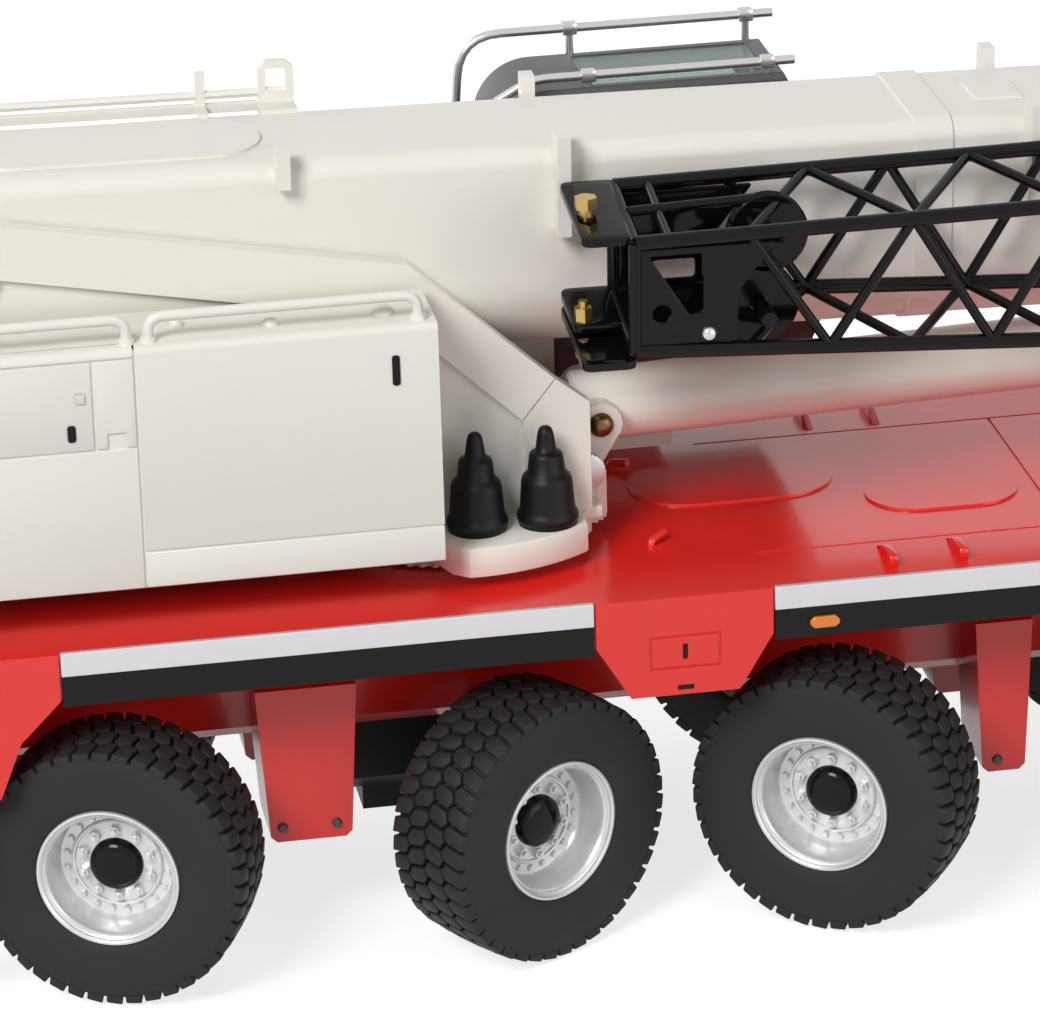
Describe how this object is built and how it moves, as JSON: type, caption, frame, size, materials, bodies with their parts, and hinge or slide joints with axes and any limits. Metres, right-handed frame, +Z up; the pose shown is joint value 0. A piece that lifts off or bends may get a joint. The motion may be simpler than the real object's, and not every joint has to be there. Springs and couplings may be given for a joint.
{
  "type": "scale model of a mobile all-terrain crane",
  "caption": "Die-cast scale model of an all-terrain mobile crane with a telescopic boom, side-stowed lattice jib, slewing upper, steered wheels and outriggers.",
  "frame": {"origin": "on the ground, midway between the tail of the counterweight and the boom head", "axes": "+X towards the driver's cab, +Y to the model's left, +Z up"},
  "size_m": [0.286, 0.0744, 0.0997],
  "materials": {
    "red_paint": "gloss",
    "cream_paint": "satin",
    "silver_strip": "satin",
    "black_plastic": "matte",
    "black_gloss": "gloss",
    "tyre_rubber": "matte",
    "steel": "satin",
    "grey_plastic": "satin",
    "tinted_glass": "gloss",
    "amber_lamp": "gloss",
    "red_lamp": "gloss",
    "clear_lamp": "gloss"
  },
  "bodies": {
    "carrier": {"chassis_frame": "red_paint", "deck": "red_paint", "deck_edge_trim": "silver_strip", "side_skirts": "black_plastic", "marker_lamps": "amber_lamp", "tail_lamps": "red_lamp", "axles_and_gearbox": "black_plastic", "carrier_cab": "red_paint", "carrier_cab_glass": "tinted_glass", "carrier_cab_interior": "grey_plastic", "front_bumper": "black_plastic", "headlamps": "clear_lamp", "cab_mirrors": "black_plastic"},
    "knuckle_1_right": {"knuckle_1_right": "black_plastic"},
    "wheel_1_right": {"wheel_1_right": "tyre_rubber"},
    "knuckle_1_left": {"knuckle_1_left": "black_plastic"},
    "wheel_1_left": {"wheel_1_left": "tyre_rubber"},
    "knuckle_2_right": {"knuckle_2_right": "black_plastic"},
    "wheel_2_right": {"wheel_2_right": "tyre_rubber"},
    "knuckle_2_left": {"knuckle_2_left": "black_plastic"},
    "wheel_2_left": {"wheel_2_left": "tyre_rubber"},
    "knuckle_3_right": {"knuckle_3_right": "black_plastic"},
    "wheel_3_right": {"wheel_3_right": "tyre_rubber"},
    "knuckle_3_left": {"knuckle_3_left": "black_plastic"},
    "wheel_3_left": {"wheel_3_left": "tyre_rubber"},
    "knuckle_4_right": {"knuckle_4_right": "black_plastic"},
    "wheel_4_right": {"wheel_4_right": "tyre_rubber"},
    "knuckle_4_left": {"knuckle_4_left": "black_plastic"},
    "wheel_4_left": {"wheel_4_left": "tyre_rubber"},
    "knuckle_5_right": {"knuckle_5_right": "black_plastic"},
    "wheel_5_right": {"wheel_5_right": "tyre_rubber"},
    "knuckle_5_left": {"knuckle_5_left": "black_plastic"},
    "wheel_5_left": {"wheel_5_left": "tyre_rubber"},
    "outrigger_front_right": {"outrigger_beam_front_right": "red_paint"},
    "jack_front_right": {"outrigger_jack_front_right": "steel"},
    "outrigger_front_left": {"outrigger_beam_front_left": "red_paint"},
    "jack_front_left": {"outrigger_jack_front_left": "steel"},
    "outrigger_rear_right": {"outrigger_beam_rear_right": "red_paint"},
    "jack_rear_right": {"outrigger_jack_rear_right": "steel"},
    "outrigger_rear_left": {"outrigger_beam_rear_left": "red_paint"},
    "jack_rear_left": {"outrigger_jack_rear_left": "steel"},
    "superstructure": {"turntable": "cream_paint", "machinery_housings": "cream_paint", "hand_rails": "cream_paint", "counterweight": "cream_paint", "stowage_cones": "black_plastic"},
    "hoist_drum": {"hoist_drum": "steel"},
    "operator_cab": {"upper_cab": "grey_plastic", "upper_cab_glass": "tinted_glass", "upper_cab_seat": "black_plastic", "upper_cab_rails": "steel"},
    "boom": {"boom_base": "cream_paint", "lattice_jib": "black_gloss"},
    "boom_2": {"boom_section_2": "cream_paint"},
    "boom_3": {"boom_section_3": "cream_paint"},
    "boom_4": {"boom_section_4": "cream_paint"},
    "boom_5": {"boom_section_5": "cream_paint"},
    "luff_barrel": {"luff_barrel": "cream_paint"},
    "luff_rod": {"luff_rod": "steel"}
  },
  "joints": [
    {"name": "steer_1_right", "type": "hinge", "parent": "carrier", "child": "knuckle_1_right", "pos_m": [0.087, -0.022, 0.0162], "axis": [0, 0, 1], "range_deg": [-35, 35]},
    {"name": "spin_1_right", "type": "hinge", "parent": "knuckle_1_right", "child": "wheel_1_right", "pos_m": [0.087, -0.024, 0.0162], "axis": [0, 1, 0], "continuous": true},
    {"name": "steer_1_left", "type": "hinge", "parent": "carrier", "child": "knuckle_1_left", "pos_m": [0.087, 0.022, 0.0162], "axis": [0, 0, 1], "range_deg": [-35, 35]},
    {"name": "spin_1_left", "type": "hinge", "parent": "knuckle_1_left", "child": "wheel_1_left", "pos_m": [0.087, 0.024, 0.0162], "axis": [0, 1, 0], "continuous": true},
    {"name": "steer_2_right", "type": "hinge", "parent": "carrier", "child": "knuckle_2_right", "pos_m": [0.0315, -0.022, 0.0162], "axis": [0, 0, 1], "range_deg": [-35, 35]},
    {"name": "spin_2_right", "type": "hinge", "parent": "knuckle_2_right", "child": "wheel_2_right", "pos_m": [0.0315, -0.024, 0.0162], "axis": [0, 1, 0], "continuous": true},
    {"name": "steer_2_left", "type": "hinge", "parent": "carrier", "child": "knuckle_2_left", "pos_m": [0.0315, 0.022, 0.0162], "axis": [0, 0, 1], "range_deg": [-35, 35]},
    {"name": "spin_2_left", "type": "hinge", "parent": "knuckle_2_left", "child": "wheel_2_left", "pos_m": [0.0315, 0.024, 0.0162], "axis": [0, 1, 0], "continuous": true},
    {"name": "steer_3_right", "type": "hinge", "parent": "carrier", "child": "knuckle_3_right", "pos_m": [-0.0143, -0.022, 0.0162], "axis": [0, 0, 1], "range_deg": [-1.5, 68.5]},
    {"name": "spin_3_right", "type": "hinge", "parent": "knuckle_3_right", "child": "wheel_3_right", "pos_m": [-0.0154, -0.02367, 0.0162], "axis": [0.5519, 0.8339, 0], "continuous": true},
    {"name": "steer_3_left", "type": "hinge", "parent": "carrier", "child": "knuckle_3_left", "pos_m": [-0.0143, 0.022, 0.0162], "axis": [0, 0, 1], "range_deg": [-1.5, 68.5]},
    {"name": "spin_3_left", "type": "hinge", "parent": "knuckle_3_left", "child": "wheel_3_left", "pos_m": [-0.0132, 0.02367, 0.0162], "axis": [0.5519, 0.8339, 0], "continuous": true},
    {"name": "steer_4_right", "type": "hinge", "parent": "carrier", "child": "knuckle_4_right", "pos_m": [-0.0532, -0.022, 0.0162], "axis": [0, 0, 1], "range_deg": [-66.5, 3.5]},
    {"name": "spin_4_right", "type": "hinge", "parent": "knuckle_4_right", "child": "wheel_4_right", "pos_m": [-0.05215, -0.02371, 0.0162], "axis": [-0.5225, 0.8526, 0], "continuous": true},
    {"name": "steer_4_left", "type": "hinge", "parent": "carrier", "child": "knuckle_4_left", "pos_m": [-0.0532, 0.022, 0.0162], "axis": [0, 0, 1], "range_deg": [-66.5, 3.5]},
    {"name": "spin_4_left", "type": "hinge", "parent": "knuckle_4_left", "child": "wheel_4_left", "pos_m": [-0.05425, 0.02371, 0.0162], "axis": [-0.5225, 0.8526, 0], "continuous": true},
    {"name": "steer_5_right", "type": "hinge", "parent": "carrier", "child": "knuckle_5_right", "pos_m": [-0.0996, -0.022, 0.0162], "axis": [0, 0, 1], "range_deg": [-14.7, 55.3]},
    {"name": "spin_5_right", "type": "hinge", "parent": "knuckle_5_right", "child": "wheel_5_right", "pos_m": [-0.10029, -0.02388, 0.0162], "axis": [0.3469, 0.9379, 0], "continuous": true},
    {"name": "steer_5_left", "type": "hinge", "parent": "carrier", "child": "knuckle_5_left", "pos_m": [-0.0996, 0.022, 0.0162], "axis": [0, 0, 1], "range_deg": [-14.7, 55.3]},
    {"name": "spin_5_left", "type": "hinge", "parent": "knuckle_5_left", "child": "wheel_5_left", "pos_m": [-0.09891, 0.02388, 0.0162], "axis": [0.3469, 0.9379, 0], "continuous": true},
    {"name": "extend_front_right", "type": "slide", "parent": "carrier", "child": "outrigger_front_right", "axis": [0, -1, 0], "range_m": [0, 0.034]},
    {"name": "lower_front_right", "type": "slide", "parent": "outrigger_front_right", "child": "jack_front_right", "axis": [0, 0, -1], "range_m": [0, 0.0106]},
    {"name": "extend_front_left", "type": "slide", "parent": "carrier", "child": "outrigger_front_left", "axis": [0, 1, 0], "range_m": [0, 0.034]},
    {"name": "lower_front_left", "type": "slide", "parent": "outrigger_front_left", "child": "jack_front_left", "axis": [0, 0, -1], "range_m": [0, 0.0106]},
    {"name": "extend_rear_right", "type": "slide", "parent": "carrier", "child": "outrigger_rear_right", "axis": [0, -1, 0], "range_m": [0, 0.034]},
    {"name": "lower_rear_right", "type": "slide", "parent": "outrigger_rear_right", "child": "jack_rear_right", "axis": [0, 0, -1], "range_m": [0, 0.0106]},
    {"name": "extend_rear_left", "type": "slide", "parent": "carrier", "child": "outrigger_rear_left", "axis": [0, 1, 0], "range_m": [0, 0.034]},
    {"name": "lower_rear_left", "type": "slide", "parent": "outrigger_rear_left", "child": "jack_rear_left", "axis": [0, 0, -1], "range_m": [0, 0.0106]},
    {"name": "slew", "type": "hinge", "parent": "carrier", "child": "superstructure", "pos_m": [-0.057, 0, 0.0445], "axis": [0, 0, 1], "continuous": true},
    {"name": "luff", "type": "hinge", "parent": "superstructure", "child": "boom", "pos_m": [-0.119, 0, 0.0813], "axis": [0, -1, 0], "range_deg": [0, 70]},
    {"name": "telescope_2", "type": "slide", "parent": "boom", "child": "boom_2", "axis": [0.9998, 0, -0.0175], "range_m": [0, 0.15]},
    {"name": "telescope_3", "type": "slide", "parent": "boom_2", "child": "boom_3", "axis": [0.9998, 0, -0.0175], "range_m": [0, 0.15]},
    {"name": "telescope_4", "type": "slide", "parent": "boom_3", "child": "boom_4", "axis": [0.9998, 0, -0.0175], "range_m": [0, 0.15]},
    {"name": "telescope_5", "type": "slide", "parent": "boom_4", "child": "boom_5", "axis": [0.9998, 0, -0.0175], "range_m": [0, 0.15]},
    {"name": "barrel_swing", "type": "hinge", "parent": "superstructure", "child": "luff_barrel", "pos_m": [-0.0395, 0, 0.0579], "axis": [0, -1, 0], "range_deg": [0, 86.97]},
    {"name": "rod_stroke", "type": "slide", "parent": "luff_barrel", "child": "luff_rod", "axis": [0.9995, 0, 0.0324], "range_m": [0, 0.08476]},
    {"name": "hoist_turn", "type": "hinge", "parent": "superstructure", "child": "hoist_drum", "pos_m": [-0.107, 0, 0.0588], "axis": [0, 1, 0], "continuous": true},
    {"name": "cab_tilt", "type": "hinge", "parent": "superstructure", "child": "operator_cab", "pos_m": [-0.0504, 0, 0.0519], "axis": [0, -1, 0], "range_deg": [0, 20]}
  ],
  "couplings": [
    {"joint": "steer_1_left", "follows": "steer_1_right", "ratio": 1},
    {"joint": "steer_2_left", "follows": "steer_2_right", "ratio": 1},
    {"joint": "steer_3_left", "follows": "steer_3_right", "ratio": 1},
    {"joint": "steer_4_left", "follows": "steer_4_right", "ratio": 1},
    {"joint": "steer_5_left", "follows": "steer_5_right", "ratio": 1},
    {"joint": "barrel_swing", "follows": "luff", "ratio": 1.2396},
    {"joint": "rod_stroke", "follows": "luff", "m_per_rad": 0.069216}
  ]
}
